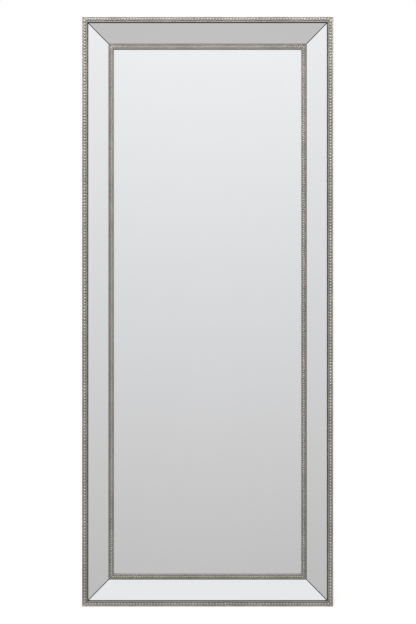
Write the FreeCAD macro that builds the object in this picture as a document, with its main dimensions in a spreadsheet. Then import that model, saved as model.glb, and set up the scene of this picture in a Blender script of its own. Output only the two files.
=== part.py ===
import FreeCAD, Part
import math
import os
import Sketcher

# Full-length mirror: a tall sheet of mirror glass in a wide frame. The frame is a mitred wooden core that
# carries four sloping mirror strips between two champagne-coloured beaded mouldings. The back is closed by
# a screwed panel and has strap hangers with swinging rings.
#
# Frame of the part: +Z up, the mirror faces -Y, the origin is at the bottom, in the middle of the width and
# of the depth. Each side of the frame is drawn once in its own axes: X along the side, Y inward from its
# outer edge, Z forward from the flat back of the core.

Vector = FreeCAD.Vector
Rotation = FreeCAD.Rotation
Placement = FreeCAD.Placement

X_DIRECTION = Vector(1, 0, 0)
Y_DIRECTION = Vector(0, 1, 0)
Z_DIRECTION = Vector(0, 0, 1)

# Sketch references: the two axes of a sketch and its origin, which goes by the number of the horizontal
# axis, and the points of a line or an arc.
VERTICAL_AXIS, HORIZONTAL_AXIS = range(-2, 0)
SKETCH_ORIGIN = HORIZONTAL_AXIS
START_POINT, END_POINT, CENTRE_POINT = range(1, 4)

# How far a mitre cut runs past the piece that it trims, in millimetres.
CUT_OVERSHOOT = 5.0

# Driving dimensions in millimetres, with the angles in degrees and the counts as whole numbers.
SIZES = [
    ("frame_width", "720", "overall width"),
    ("frame_height", "1690", "overall height"),
    ("outer_moulding_width", "16", "outer moulding, face width"),
    ("outer_moulding_height", "7.5", "outer moulding, height of its reeds above the core"),
    ("outer_edge_reed_width", "3.4", "outer moulding, reed at the outer edge"),
    ("outer_strip_reed_width", "3.6", "outer moulding, reed beside the border mirror"),
    ("outer_reed_foot", "0.7", "outer moulding, upright side of the wider reed above the bead channel"),
    ("outer_bead_side_gap", "0.5", "outer moulding, bead to the reed on each side of it"),
    ("outer_bead_row_gap", "0.45", "outer moulding, gap aimed at between two beads"),
    ("outer_bead_lift", "0.1", "outer moulding, middle of a bead above the floor of its channel"),
    ("inner_moulding_width", "13", "inner moulding, face width"),
    ("inner_moulding_height", "7", "inner moulding, height of its reeds above the core"),
    ("inner_strip_reed_width", "3", "inner moulding, reed beside the border mirror"),
    ("inner_sight_reed_width", "2.9", "inner moulding, reed beside the main mirror"),
    ("inner_reed_foot", "0.7", "inner moulding, upright side of the wider reed above the bead channel"),
    ("inner_bead_side_gap", "0.5", "inner moulding, bead to the reed on each side of it"),
    ("inner_bead_row_gap", "0.4", "inner moulding, gap aimed at between two beads"),
    ("inner_bead_lift", "0.45", "inner moulding, middle of a bead above the floor of its channel"),
    ("sight_leg_thickness", "2", "inner moulding, leg that covers the lip of the core"),
    ("border_mirror_width", "59.5", "border mirror, width across the slope"),
    ("border_mirror_thickness", "3", "border mirror, glass thickness"),
    ("border_slope", "12", "border mirror, slope towards the main mirror"),
    ("joint_gap", "1.2", "gap round each border mirror and between two of them"),
    ("tape_width", "14", "mounting tape, width of one run"),
    ("tape_thickness", "1", "mounting tape, thickness"),
    ("tape_inset", "6", "mounting tape, distance from the long edges of its mirror"),
    ("tape_end_inset", "8", "mounting tape, distance from the short edge of its mirror at each end"),
    ("glass_thickness", "4", "main mirror, glass thickness"),
    ("glass_cover", "9", "core rebate, depth behind the sight edge"),
    ("glass_play", "1.5", "gap between the main mirror and its rebate"),
    ("lip_thickness", "5", "core lip in front of the main mirror"),
    ("block_length", "40", "setting block, length"),
    ("block_end_distance", "140", "setting block, middle to the end of the glass edge"),
    ("packing_thickness", "5", "card packing sheet, thickness"),
    ("packing_play", "1", "gap between the packing sheet and its rebate"),
    ("panel_thickness", "3", "back panel, thickness"),
    ("panel_cover", "14", "back panel, overlap on the core"),
    ("panel_play", "0.5", "gap between the back panel and its rebate"),
    ("panel_screw_rows", "7", "back panel, screws on each long edge"),
    ("panel_screw_columns", "3", "back panel, screws on each short edge"),
    ("panel_screw_end_distance", "70", "back panel, end screw to the corner"),
    ("panel_screw_diameter", "3.5", "back panel screw, shank"),
    ("panel_screw_head", "7", "back panel screw, countersunk head"),
    ("panel_screw_length", "12", "back panel screw, length"),
    ("hanger_screw_diameter", "4", "hanger screw, shank"),
    ("hanger_screw_head", "7", "hanger screw, countersunk head"),
    ("hanger_screw_length", "18", "hanger screw, length"),
    ("screw_point_length", "4", "point of a screw"),
    ("screw_play", "0.05", "gap round a screw in its hole"),
    ("spline_length", "36", "mitre spline, length along the mitre"),
    ("spline_width", "24", "mitre spline, width across the mitre"),
    ("spline_thickness", "4", "mitre spline, thickness"),
    ("spline_play", "0.1", "gap round a mitre spline in its slots"),
    ("spline_distance", "36", "mitre spline, middle to the outer edges of the frame"),
    ("spline_height", "8", "mitre spline, its back above the back of the core"),
    ("strap_width", "14", "hanger strap, width"),
    ("strap_sheet", "1.2", "hanger strap, sheet thickness of one layer"),
    ("strap_first_screw", "12", "hanger strap, ring axis to the first screw"),
    ("strap_screw_spacing", "19", "hanger strap, first screw to the second"),
    ("strap_end_distance", "11", "hanger strap, second screw to the end of the tail"),
    ("strap_corner_radius", "4", "hanger strap, corner radius of the tail"),
    ("ring_wire_diameter", "4", "hanger ring, wire"),
    ("ring_play", "0.06", "gap round the ring wire in the roll of its strap"),
    ("ring_side_play", "0.5", "hanger ring, straight bar past each side of the strap"),
    ("ring_corner_radius", "4", "hanger ring, corner at each end of the bar"),
    ("ring_leg", "6", "hanger ring, bar to the middle of the bow"),
    ("ring_rest_gap", "0.3", "gap between the hanging ring and the tail of its strap"),
    ("upright_hanger_drop", "300", "upright hangers, ring axis to the top of the frame"),
    ("upright_hanger_inset", "34", "upright hangers, middle to the side of the frame"),
    ("sideways_hanger_drop", "165", "sideways hangers, distance from the height of an upright hanger"),
    ("sideways_hanger_inset", "24", "sideways hangers, ring axis to the side of the frame"),
    ("bumper_base", "18", "wall bumper, diameter on the core"),
    ("bumper_face", "14", "wall bumper, diameter at the wall"),
    ("bumper_thickness", "8", "wall bumper, thickness"),
    ("bumper_inset", "34", "wall bumper, middle to the side of the frame"),
    ("bumper_end_distance", "120", "wall bumper, middle to the top or bottom of the frame"),
]

# Places worked out from the driving dimensions. A place called a line is measured inward from the outer
# edge of the frame, and a place called a level is measured forward from the flat back of the core.
LAYOUT = [
    ("mirror_start", "(Sizes.joint_gap - Sizes.tape_thickness * sin(Sizes.border_slope))"
                     " / cos(Sizes.border_slope)"),
    ("stack_height", "Sizes.tape_thickness + Sizes.border_mirror_thickness"),
    ("inner_line", "Sizes.outer_moulding_width + Sizes.joint_gap"
                   " + (Layout.mirror_start + Sizes.border_mirror_width) * cos(Sizes.border_slope)"
                   " + Layout.stack_height * sin(Sizes.border_slope)"),
    ("sight_line", "Layout.inner_line + Sizes.inner_moulding_width"),
    ("lip_line", "Layout.sight_line - Sizes.sight_leg_thickness"),
    ("rebate_line", "Layout.sight_line - Sizes.glass_cover"),
    ("panel_line", "Layout.rebate_line - Sizes.panel_cover"),
    ("panel_screw_line", "Layout.rebate_line - Sizes.panel_cover / 2"),
    ("glass_line", "Layout.rebate_line + Sizes.glass_play"),
    ("glass_back_level", "Sizes.panel_thickness + Sizes.packing_thickness"),
    ("glass_level", "Layout.glass_back_level + Sizes.glass_thickness"),
    ("inner_seat_level", "Layout.glass_level + Sizes.lip_thickness"),
    ("outer_seat_level", "Layout.inner_seat_level + tan(Sizes.border_slope)"
                         " * (Layout.inner_line - Sizes.outer_moulding_width)"),
    ("outer_reed_level", "Layout.outer_seat_level + Sizes.outer_moulding_height"),
    ("inner_reed_level", "Layout.inner_seat_level + Sizes.inner_moulding_height"),
    ("outer_floor_level", "Layout.outer_reed_level - Sizes.outer_strip_reed_width / 2"
                          " - Sizes.outer_reed_foot"),
    ("inner_floor_level", "Layout.inner_reed_level - Sizes.inner_strip_reed_width / 2"
                          " - Sizes.inner_reed_foot"),
    ("outer_bead_diameter", "Sizes.outer_moulding_width - Sizes.outer_edge_reed_width"
                            " - Sizes.outer_strip_reed_width - 2 * Sizes.outer_bead_side_gap"),
    ("inner_bead_diameter", "Sizes.inner_moulding_width - Sizes.inner_strip_reed_width"
                            " - Sizes.inner_sight_reed_width - 2 * Sizes.inner_bead_side_gap"),
    ("outer_bead_pitch", "Layout.outer_bead_diameter + Sizes.outer_bead_row_gap"),
    ("inner_bead_pitch", "Layout.inner_bead_diameter + Sizes.inner_bead_row_gap"),
    ("outer_bead_level", "Layout.outer_floor_level + Sizes.outer_bead_lift"),
    ("inner_bead_level", "Layout.inner_floor_level + Sizes.inner_bead_lift"),
    ("front_level", "Layout.outer_bead_level + Layout.outer_bead_diameter / 2"),
    ("back_plane", "(Layout.front_level - Sizes.bumper_thickness) / 2"),
    ("mitre_gap", "Sizes.joint_gap / sqrt(2)"),
    ("outer_bead_line", "(Sizes.outer_edge_reed_width"
                        " + Sizes.outer_moulding_width - Sizes.outer_strip_reed_width) / 2"),
    ("inner_bead_line", "Layout.inner_line + (Sizes.inner_strip_reed_width"
                        " + Sizes.inner_moulding_width - Sizes.inner_sight_reed_width) / 2"),
    ("roll_radius", "Sizes.ring_wire_diameter / 2 + Sizes.ring_play + Sizes.strap_sheet"),
    ("strap_thickness", "2 * Sizes.strap_sheet"),
    ("strap_second_screw", "Sizes.strap_first_screw + Sizes.strap_screw_spacing"),
    ("strap_tail", "Layout.strap_second_screw + Sizes.strap_end_distance"),
    ("ring_bar", "Sizes.strap_width / 2 + Sizes.ring_side_play"),
    ("ring_bow", "Layout.ring_bar + Sizes.ring_corner_radius"),
    ("ring_rest_angle", "asin((Layout.strap_thickness + Sizes.ring_rest_gap + Sizes.ring_wire_diameter / 2"
                        " - Layout.roll_radius)"
                        " / (Sizes.ring_leg + sqrt(Layout.ring_bow ^ 2 - (Sizes.strap_width / 2) ^ 2)))"
                        " / (1 deg)"),
]

# The four sides: turn about Y from the bottom side, the middle of the side's outer edge, and its length.
SIDES = {
    "bottom": (0, "0", "0", "Sizes.frame_width"),
    "top": (180, "0", "Sizes.frame_height", "Sizes.frame_width"),
    "left": (90, "-Sizes.frame_width / 2", "Sizes.frame_height / 2", "Sizes.frame_height"),
    "right": (-90, "Sizes.frame_width / 2", "Sizes.frame_height / 2", "Sizes.frame_height"),
}

# Turn from a side's own axes to the bottom side of the frame: inward becomes up and forward becomes -Y.
FACING = Rotation(X_DIRECTION, 90)
# Turn for what stands on the back of the core: its own Z points away from the mirror.
FACING_BACK = Rotation(X_DIRECTION, -90)

MIDDLE_HEIGHT = "Sizes.frame_height / 2"
# Reach of the ring axes above the middle of the frame, and to its left.
UPRIGHT_RISE = "(Sizes.frame_height / 2 - Sizes.upright_hanger_drop)"
UPRIGHT_REACH = "(Sizes.frame_width / 2 - Sizes.upright_hanger_inset)"
SIDEWAYS_RISE = "(Sizes.frame_height / 2 - Sizes.upright_hanger_drop - Sizes.sideways_hanger_drop)"
SIDEWAYS_REACH = "(Sizes.frame_width / 2 - Sizes.sideways_hanger_inset)"

# The four hangers: turn about Y, then the place of the ring axis across and up the frame.
HANGERS = {
    "upper_left": (0, f"-{UPRIGHT_REACH}", f"{MIDDLE_HEIGHT} + {UPRIGHT_RISE}"),
    "upper_right": (0, UPRIGHT_REACH, f"{MIDDLE_HEIGHT} + {UPRIGHT_RISE}"),
    "sideways_upper": (-90, f"-{SIDEWAYS_REACH}", f"{MIDDLE_HEIGHT} + {SIDEWAYS_RISE}"),
    "sideways_lower": (-90, f"-{SIDEWAYS_REACH}", f"{MIDDLE_HEIGHT} - {SIDEWAYS_RISE}"),
}
STRAP_SCREWS = ("Sizes.strap_first_screw", "Layout.strap_second_screw")

doc = FreeCAD.newDocument("FullLengthMirror")
sheet = doc.addObject("Spreadsheet::Sheet", "Sizes")
for row, (alias, number, meaning) in enumerate(SIZES, start=1):
    sheet.set(f"A{row}", meaning)
    sheet.set(f"B{row}", number)
    sheet.setAlias(f"B{row}", alias)
doc.recompute()

layout = doc.addObject("App::VarSet", "Layout")
for name, formula in LAYOUT:
    layout.addProperty("App::PropertyFloat", name)
    layout.setExpression(name, formula)
doc.recompute()

sub_parts = []


def value(formula):
    """The number that a formula gives with the sizes of the sheet."""
    return float(sheet.evalExpression(formula))


def keep(sub_part, label):
    """Name a finished sub-part and list it for writing."""
    sub_part.Label = label
    sub_parts.append(sub_part)


def bind(thing, **formulas):
    """Bind properties of a document object; a double underscore stands for a dot in the property's path."""
    for path, formula in formulas.items():
        thing.setExpression(path.replace("__", "."), formula)


def place(thing, rotation, across, depth, up):
    """Turn an object and bind its place in the frame of the part."""
    thing.Placement = Placement(Vector(value(across), value(depth), value(up)), rotation)
    bind(thing, Placement__Base__x=across, Placement__Base__y=depth, Placement__Base__z=up)


def origin_of(body, role):
    """One of a body's own origin planes or axes."""
    return next(feature for feature in body.Origin.OriginFeatures if feature.Role == role)


def new_body(name):
    return doc.addObject("PartDesign::Body", name)


def new_sketch(body, name, plane, lift="0"):
    """A sketch on one of its body's origin planes, lifted off it along the plane's normal."""
    sketch = body.newObject("Sketcher::SketchObject", name)
    sketch.AttachmentSupport = [(origin_of(body, plane), "")]
    sketch.MapMode = "FlatFace"
    if lift != "0":
        bind(sketch, AttachmentOffset__Base__z=lift)
    return sketch


def fix_point(sketch, geometry, point, across, up):
    """Hold a point of a sketch at two formulas, or on an axis where a formula is 0."""
    for kind, formula, axis in (("DistanceX", across, VERTICAL_AXIS), ("DistanceY", up, HORIZONTAL_AXIS)):
        if formula == "0":
            sketch.addConstraint(Sketcher.Constraint("PointOnObject", geometry, point, axis))
        else:
            distance = Sketcher.Constraint(kind, SKETCH_ORIGIN, START_POINT, geometry, point, value(formula))
            index = sketch.addConstraint(distance)
            sketch.setExpression(f"Constraints[{index}]", formula)


def add_outline(sketch, corners):
    """Draw a closed outline, counter-clockwise. Each corner is a pair of formulas, and a second pair names
    the centre of the arc that leads to that corner."""
    edges = []
    for corner, following in zip(corners, corners[1:] + corners[:1]):
        start = Vector(value(corner[0]), value(corner[1]), 0)
        end = Vector(value(following[0]), value(following[1]), 0)
        if len(following) == 2:
            edges.append(sketch.addGeometry(Part.LineSegment(start, end), False))
        else:
            centre = Vector(value(following[2]), value(following[3]), 0)
            first = math.atan2(start.y - centre.y, start.x - centre.x)
            last = math.atan2(end.y - centre.y, end.x - centre.x)
            circle = Part.Circle(centre, Z_DIRECTION, centre.distanceToPoint(start))
            edges.append(sketch.addGeometry(Part.ArcOfCircle(circle, first, last), False))
    for edge, next_edge in zip(edges, edges[1:] + edges[:1]):
        sketch.addConstraint(Sketcher.Constraint("Coincident", edge, END_POINT, next_edge, START_POINT))
    for edge, corner, following in zip(edges, corners, corners[1:] + corners[:1]):
        fix_point(sketch, edge, START_POINT, corner[0], corner[1])
        if len(following) == 4 and following[3] == "0":
            on_axis = Sketcher.Constraint("PointOnObject", edge, CENTRE_POINT, HORIZONTAL_AXIS)
            sketch.addConstraint(on_axis)
        elif len(following) == 4:
            height = Sketcher.Constraint(
                "DistanceY", SKETCH_ORIGIN, START_POINT, edge, CENTRE_POINT, value(following[3]))
            index = sketch.addConstraint(height)
            sketch.setExpression(f"Constraints[{index}]", following[3])
    return edges


def add_circle(sketch, across, up, diameter):
    """Draw a circle of a given diameter round a fixed point."""
    centre = Vector(value(across), value(up), 0)
    circle = sketch.addGeometry(Part.Circle(centre, Z_DIRECTION, value(diameter) / 2), False)
    index = sketch.addConstraint(Sketcher.Constraint("Diameter", circle, value(diameter)))
    sketch.setExpression(f"Constraints[{index}]", diameter)
    fix_point(sketch, circle, CENTRE_POINT, across, up)


def add_pad(body, name, sketch, length, symmetric=False):
    pad = body.newObject("PartDesign::Pad", name)
    pad.Profile = sketch
    if symmetric:
        pad.SideType = "Symmetric"
    bind(pad, Length=length)
    body.Tip = pad
    doc.recompute()
    return pad


def finish_cut(body, cut):
    """Make a cut the body's last feature, and make sure that it took something away."""
    before = body.Shape.Volume
    body.Tip = cut
    doc.recompute()
    if body.Shape.Volume >= before:
        raise RuntimeError(f"{cut.Name} cuts nothing")


def add_pocket(body, name, sketch, depth):
    """Cut a sketch forward, along its normal, to a depth."""
    pocket = body.newObject("PartDesign::Pocket", name)
    pocket.Profile = sketch
    pocket.Reversed = True
    bind(pocket, Length=depth)
    finish_cut(body, pocket)


def add_mitres(body, name, length, gap):
    """Cut both ends of a side at 45 degrees, with a gap to the mitre line that is measured along the side."""
    sketch = new_sketch(body, name + "_mitre_sketch", "XY_Plane")
    inner_end = f"Layout.sight_line + {CUT_OVERSHOOT}"
    outside = f"{length} / 2 + {CUT_OVERSHOOT} - {gap}"
    inside = f"{length} / 2 - ({inner_end}) - {gap}"
    add_outline(sketch, [(outside, f"-{CUT_OVERSHOOT}"), (outside, inner_end), (inside, inner_end)])
    add_outline(sketch, [(f"-({inside})", inner_end), (f"-({outside})", inner_end),
                         (f"-({outside})", f"-{CUT_OVERSHOOT}")])
    pocket = body.newObject("PartDesign::Pocket", name + "_mitre")
    pocket.Profile = sketch
    pocket.Type = "ThroughAll"
    pocket.SideType = "Symmetric"
    finish_cut(body, pocket)


def add_beads(body, name, length, line, level, diameter, pitch):
    """Set a row of beads along a moulding. An end bead keeps one pitch to the first bead round the corner."""
    steps = f"round(({length} - 2 * {line} - sqrt(2) * {pitch}) / {pitch})"
    row_length = f"({length} - 2 * {line} - sqrt(2) * {pitch})"
    bead = body.newObject("PartDesign::AdditiveSphere", name + "_bead")
    bead.AttachmentSupport = [(origin_of(body, "XY_Plane"), "")]
    bead.MapMode = "FlatFace"
    bind(bead, Radius=f"{diameter} / 2", AttachmentOffset__Base__x=f"-{row_length} / 2",
         AttachmentOffset__Base__y=line, AttachmentOffset__Base__z=level)
    doc.recompute()
    row = body.newObject("PartDesign::LinearPattern", name + "_bead_row")
    row.Originals = [bead]
    row.Direction = (origin_of(body, "X_Axis"), [""])
    bind(row, Length=row_length, Occurrences=f"{steps} + 1")
    body.Tip = row
    doc.recompute()


def new_side(label, side, outlines):
    """A bar along one side of the frame, drawn as one or more outlines of its section."""
    turn, across, up, length = SIDES[side]
    body = new_body(label)
    section = new_sketch(body, label + "_section", "YZ_Plane")
    for outline in outlines:
        add_outline(section, outline)
    place(body, Rotation(Y_DIRECTION, turn) * FACING, across, "Layout.back_plane", up)
    return body, section, length


def on_slope(along, height):
    """A point of a section, along the slope of the core from its outer end and at a height above it."""
    line = (f"Sizes.outer_moulding_width + ({along}) * cos(Sizes.border_slope)"
            f" + ({height}) * sin(Sizes.border_slope)")
    level = (f"Layout.outer_seat_level - ({along}) * sin(Sizes.border_slope)"
             f" + ({height}) * cos(Sizes.border_slope)")
    return (line, level)


def slope_rectangle(start, width, bottom, top):
    """The section of a flat strip that lies on the slope of the core."""
    end = f"{start} + {width}"
    return [on_slope(start, bottom), on_slope(end, bottom), on_slope(end, top), on_slope(start, top)]


def panel_screw_places(length, count):
    """Even places for screws along one edge of the back panel, from the middle of that edge."""
    step = f"({length} - 2 * Layout.panel_line - 2 * Sizes.panel_screw_end_distance) / ({count} - 1)"
    number = round(value(count))
    return [f"({index} - ({count} - 1) / 2) * {step}" for index in range(number)]


def hanger_holes(side):
    """Places of the hanger screws on a stile, in the stile's own axes."""
    upright = [f"{UPRIGHT_RISE} - {screw}" for screw in STRAP_SCREWS]
    if side == "right":
        return [(along, "Sizes.upright_hanger_inset") for along in upright]
    holes = [(f"-({along})", "Sizes.upright_hanger_inset") for along in upright]
    for along in (SIDEWAYS_RISE, f"-{SIDEWAYS_RISE}"):
        holes += [(along, f"Sizes.sideways_hanger_inset + {screw}") for screw in STRAP_SCREWS]
    return holes


def make_core_member(label, side, screw_count):
    """A mitred core member, with the rebates for glass and panel, spline slots and screw holes."""
    section = [
        ("0", "0"),
        ("Layout.panel_line", "0"),
        ("Layout.panel_line", "Sizes.panel_thickness"),
        ("Layout.rebate_line", "Sizes.panel_thickness"),
        ("Layout.rebate_line", "Layout.glass_level"),
        ("Layout.lip_line", "Layout.glass_level"),
        ("Layout.lip_line", "Layout.inner_seat_level"),
        ("Layout.inner_line", "Layout.inner_seat_level"),
        ("Sizes.outer_moulding_width", "Layout.outer_seat_level"),
        ("0", "Layout.outer_seat_level"),
    ]
    body, sketch, length = new_side(label, side, [section])
    add_pad(body, label + "_bar", sketch, length, symmetric=True)
    add_mitres(body, label, length, "0")

    slots = new_sketch(body, label + "_slot_sketch", "XY_Plane", "Sizes.spline_height - Sizes.spline_play")
    along_mitre = "(Sizes.spline_length / 2 + Sizes.spline_play) / sqrt(2)"
    across_mitre = "(Sizes.spline_width / 2 + Sizes.spline_play) / sqrt(2)"
    for end in (1, -1):
        corners = []
        for length_sign, width_sign in ((1, 1), (1, -1), (-1, -1), (-1, 1)):
            inward = f"Sizes.spline_distance + {length_sign} * {along_mitre} + {width_sign} * {across_mitre}"
            outward = (f"{length} / 2 - Sizes.spline_distance - {length_sign} * {along_mitre}"
                       f" + {width_sign} * {across_mitre}")
            corners.append((f"{end} * ({outward})", inward))
        add_outline(slots, corners)
    add_pocket(body, label + "_slots", slots, "Sizes.spline_thickness + 2 * Sizes.spline_play")

    holes = new_sketch(body, label + "_panel_hole_sketch", "XY_Plane")
    for along in panel_screw_places(length, screw_count):
        add_circle(holes, along, "Layout.panel_screw_line",
                   "Sizes.panel_screw_diameter + 2 * Sizes.screw_play")
    add_pocket(body, label + "_panel_holes", holes, "Sizes.panel_screw_length + Sizes.screw_play")

    if side in ("left", "right"):
        holes = new_sketch(body, label + "_hanger_hole_sketch", "XY_Plane")
        for along, inward in hanger_holes(side):
            add_circle(holes, along, inward, "Sizes.hanger_screw_diameter + 2 * Sizes.screw_play")
        add_pocket(body, label + "_hanger_holes", holes,
                   "Sizes.hanger_screw_length - Layout.strap_thickness + Sizes.screw_play")
    keep(body, label)


def make_outer_moulding(label, side):
    """The outer beaded moulding: two half-round reeds with a row of beads in the channel between them."""
    edge_spring = "Layout.outer_reed_level - Sizes.outer_edge_reed_width / 2"
    strip_spring = "Layout.outer_reed_level - Sizes.outer_strip_reed_width / 2"
    strip_reed = "Sizes.outer_moulding_width - Sizes.outer_strip_reed_width"
    section = [
        ("0", "Layout.outer_seat_level"),
        ("Sizes.outer_moulding_width", "Layout.outer_seat_level"),
        ("Sizes.outer_moulding_width", strip_spring),
        (strip_reed, strip_spring,
         "Sizes.outer_moulding_width - Sizes.outer_strip_reed_width / 2", strip_spring),
        (strip_reed, "Layout.outer_floor_level"),
        ("Sizes.outer_edge_reed_width", "Layout.outer_floor_level"),
        ("Sizes.outer_edge_reed_width", edge_spring),
        ("0", edge_spring, "Sizes.outer_edge_reed_width / 2", edge_spring),
    ]
    body, sketch, length = new_side(label, side, [section])
    add_pad(body, label + "_bar", sketch, length, symmetric=True)
    add_mitres(body, label, length, "0")
    add_beads(body, label, length, "Layout.outer_bead_line", "Layout.outer_bead_level",
              "Layout.outer_bead_diameter", "Layout.outer_bead_pitch")
    keep(body, label)


def make_inner_moulding(label, side):
    """The inner beaded moulding, with a leg that covers the lip of the core down to the main mirror."""
    strip_spring = "Layout.inner_reed_level - Sizes.inner_strip_reed_width / 2"
    sight_spring = "Layout.inner_reed_level - Sizes.inner_sight_reed_width / 2"
    sight_reed = "Layout.sight_line - Sizes.inner_sight_reed_width"
    strip_reed = "Layout.inner_line + Sizes.inner_strip_reed_width"
    section = [
        ("Layout.inner_line", "Layout.inner_seat_level"),
        ("Layout.lip_line", "Layout.inner_seat_level"),
        ("Layout.lip_line", "Layout.glass_level"),
        ("Layout.sight_line", "Layout.glass_level"),
        ("Layout.sight_line", sight_spring),
        (sight_reed, sight_spring, "Layout.sight_line - Sizes.inner_sight_reed_width / 2", sight_spring),
        (sight_reed, "Layout.inner_floor_level"),
        (strip_reed, "Layout.inner_floor_level"),
        (strip_reed, strip_spring),
        ("Layout.inner_line", strip_spring,
         "Layout.inner_line + Sizes.inner_strip_reed_width / 2", strip_spring),
    ]
    body, sketch, length = new_side(label, side, [section])
    add_pad(body, label + "_bar", sketch, length, symmetric=True)
    add_mitres(body, label, length, "0")
    add_beads(body, label, length, "Layout.inner_bead_line", "Layout.inner_bead_level",
              "Layout.inner_bead_diameter", "Layout.inner_bead_pitch")
    keep(body, label)


def make_border_mirror(label, side):
    """A mitred strip of mirror glass on the slope of the core, above its tape."""
    section = slope_rectangle("Layout.mirror_start", "Sizes.border_mirror_width",
                              "Sizes.tape_thickness", "Layout.stack_height")
    body, sketch, length = new_side(label, side, [section])
    add_pad(body, label + "_bar", sketch, length, symmetric=True)
    add_mitres(body, label, length, "Layout.mitre_gap")
    keep(body, label)


def make_border_tape(label, side):
    """Two runs of mounting tape between the core and a border mirror."""
    first = "Layout.mirror_start + Sizes.tape_inset"
    second = "Layout.mirror_start + Sizes.border_mirror_width - Sizes.tape_inset - Sizes.tape_width"
    runs = [slope_rectangle(start, "Sizes.tape_width", "0", "Sizes.tape_thickness")
            for start in (first, second)]
    body, sketch, length = new_side(label, side, runs)
    body.AllowCompound = True
    add_pad(body, label + "_runs", sketch, f"{length} - 2 * (Layout.inner_line + Sizes.tape_end_inset)",
            symmetric=True)
    keep(body, label)


def make_sheet(label, line, back_level, thickness):
    """A plain upright sheet whose edges keep one distance to the outer edge of the frame."""
    box = doc.addObject("Part::Box", label)
    bind(box, Length=f"Sizes.frame_width - 2 * ({line})", Width=thickness,
         Height=f"Sizes.frame_height - 2 * ({line})")
    place(box, Rotation(), f"-(Sizes.frame_width / 2 - ({line}))",
          f"Layout.back_plane - ({back_level}) - ({thickness})", line)
    keep(box, label)


def add_countersunk_holes(body, name, sketch, diameter, head):
    """Drill countersunk holes at the circles of a sketch, forward along its normal."""
    doc.recompute()
    hole = body.newObject("PartDesign::Hole", name)
    hole.Profile = sketch
    hole.ThreadType = "None"
    hole.DepthType = "ThroughAll"
    hole.HoleCutType = "Countersink"
    hole.HoleCutCustomValues = True
    hole.HoleCutCountersinkAngle = 90
    hole.Reversed = True
    bind(hole, Diameter=f"{diameter} + 2 * Sizes.screw_play",
         HoleCutDiameter=f"{head} + 2 * Sizes.screw_play")
    finish_cut(body, hole)


def make_back_panel(label):
    """The back panel, with countersunk screw holes along its four edges."""
    body = new_body(label)
    outline = new_sketch(body, label + "_outline", "XY_Plane")
    side_reach = "(Sizes.frame_width / 2 - Layout.panel_line - Sizes.panel_play)"
    end_reach = "(Sizes.frame_height / 2 - Layout.panel_line - Sizes.panel_play)"
    add_outline(outline, [("-" + side_reach, "-" + end_reach), (side_reach, "-" + end_reach),
                          (side_reach, end_reach), ("-" + side_reach, end_reach)])
    add_pad(body, label + "_sheet", outline, "Sizes.panel_thickness")
    holes = new_sketch(body, label + "_hole_sketch", "XY_Plane")
    for across, up in panel_screw_points():
        add_circle(holes, across, up, "Sizes.panel_screw_diameter")
    add_countersunk_holes(body, label + "_holes", holes,
                          "Sizes.panel_screw_diameter", "Sizes.panel_screw_head")
    place(body, FACING, "0", "Layout.back_plane", MIDDLE_HEIGHT)
    keep(body, label)


def panel_screw_points():
    """Places of the back panel screws, across and up from the middle of the panel."""
    points = []
    for end in ("-1", "1"):
        across = f"{end} * (Sizes.frame_width / 2 - Layout.panel_screw_line)"
        up = f"{end} * (Sizes.frame_height / 2 - Layout.panel_screw_line)"
        points += [(across, along) for along in panel_screw_places("Sizes.frame_height",
                                                                   "Sizes.panel_screw_rows")]
        points += [(along, up) for along in panel_screw_places("Sizes.frame_width",
                                                               "Sizes.panel_screw_columns")]
    return points


def make_screw(name, diameter, head, length):
    """One countersunk screw, its head at the origin and its point along Z."""
    body = new_body(name)
    section = new_sketch(body, name + "_section", "XZ_Plane")
    add_outline(section, [
        ("0", "0"),
        (f"{head} / 2", "0"),
        (f"{diameter} / 2", f"({head} - {diameter}) / 2"),
        (f"{diameter} / 2", f"{length} - Sizes.screw_point_length"),
        ("0", length),
    ])
    turned = body.newObject("PartDesign::Revolution", name + "_turned")
    turned.Profile = section
    turned.ReferenceAxis = (section, ["V_Axis"])
    body.Tip = turned
    doc.recompute()
    return body


def make_group(label, pattern, placements):
    """Like pieces as one sub-part: copies of a pattern piece, each a separate solid."""
    copies = []
    for placement in placements:
        copy = pattern.Shape.copy()
        copy.Placement = placement
        copies.append(copy)
    group = doc.addObject("Part::Feature", label)
    group.Shape = Part.makeCompound(copies)
    keep(group, label)


def at(rotation, across, depth, up):
    """A placement at three formulas, in the frame of the part."""
    return Placement(Vector(value(across), value(depth), value(up)), rotation)


def make_panel_screws(label):
    screw = make_screw("panel_screw", "Sizes.panel_screw_diameter", "Sizes.panel_screw_head",
                       "Sizes.panel_screw_length")
    make_group(label, screw, [at(FACING, across, "Layout.back_plane", f"{MIDDLE_HEIGHT} + {up}")
                              for across, up in panel_screw_points()])


def make_mitre_splines(label):
    """The four flat tongues across the corner joints of the core."""
    spline = doc.addObject("Part::Box", "mitre_spline")
    bind(spline, Length="Sizes.spline_length", Width="Sizes.spline_width", Height="Sizes.spline_thickness")
    doc.recompute()
    middle = Placement(Vector(-value("Sizes.spline_length / 2"), -value("Sizes.spline_width / 2"),
                              value("Sizes.spline_height")), Rotation())
    placements = []
    for across_sign in (1, -1):
        for up, up_sign in (("Sizes.spline_distance", 1),
                            ("Sizes.frame_height - Sizes.spline_distance", -1)):
            across = f"{across_sign} * (Sizes.frame_width / 2 - Sizes.spline_distance)"
            turn = Rotation(Z_DIRECTION, -45 * across_sign * up_sign)
            placements.append(at(FACING * turn, across, "Layout.back_plane", up) * middle)
    make_group(label, spline, placements)


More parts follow.
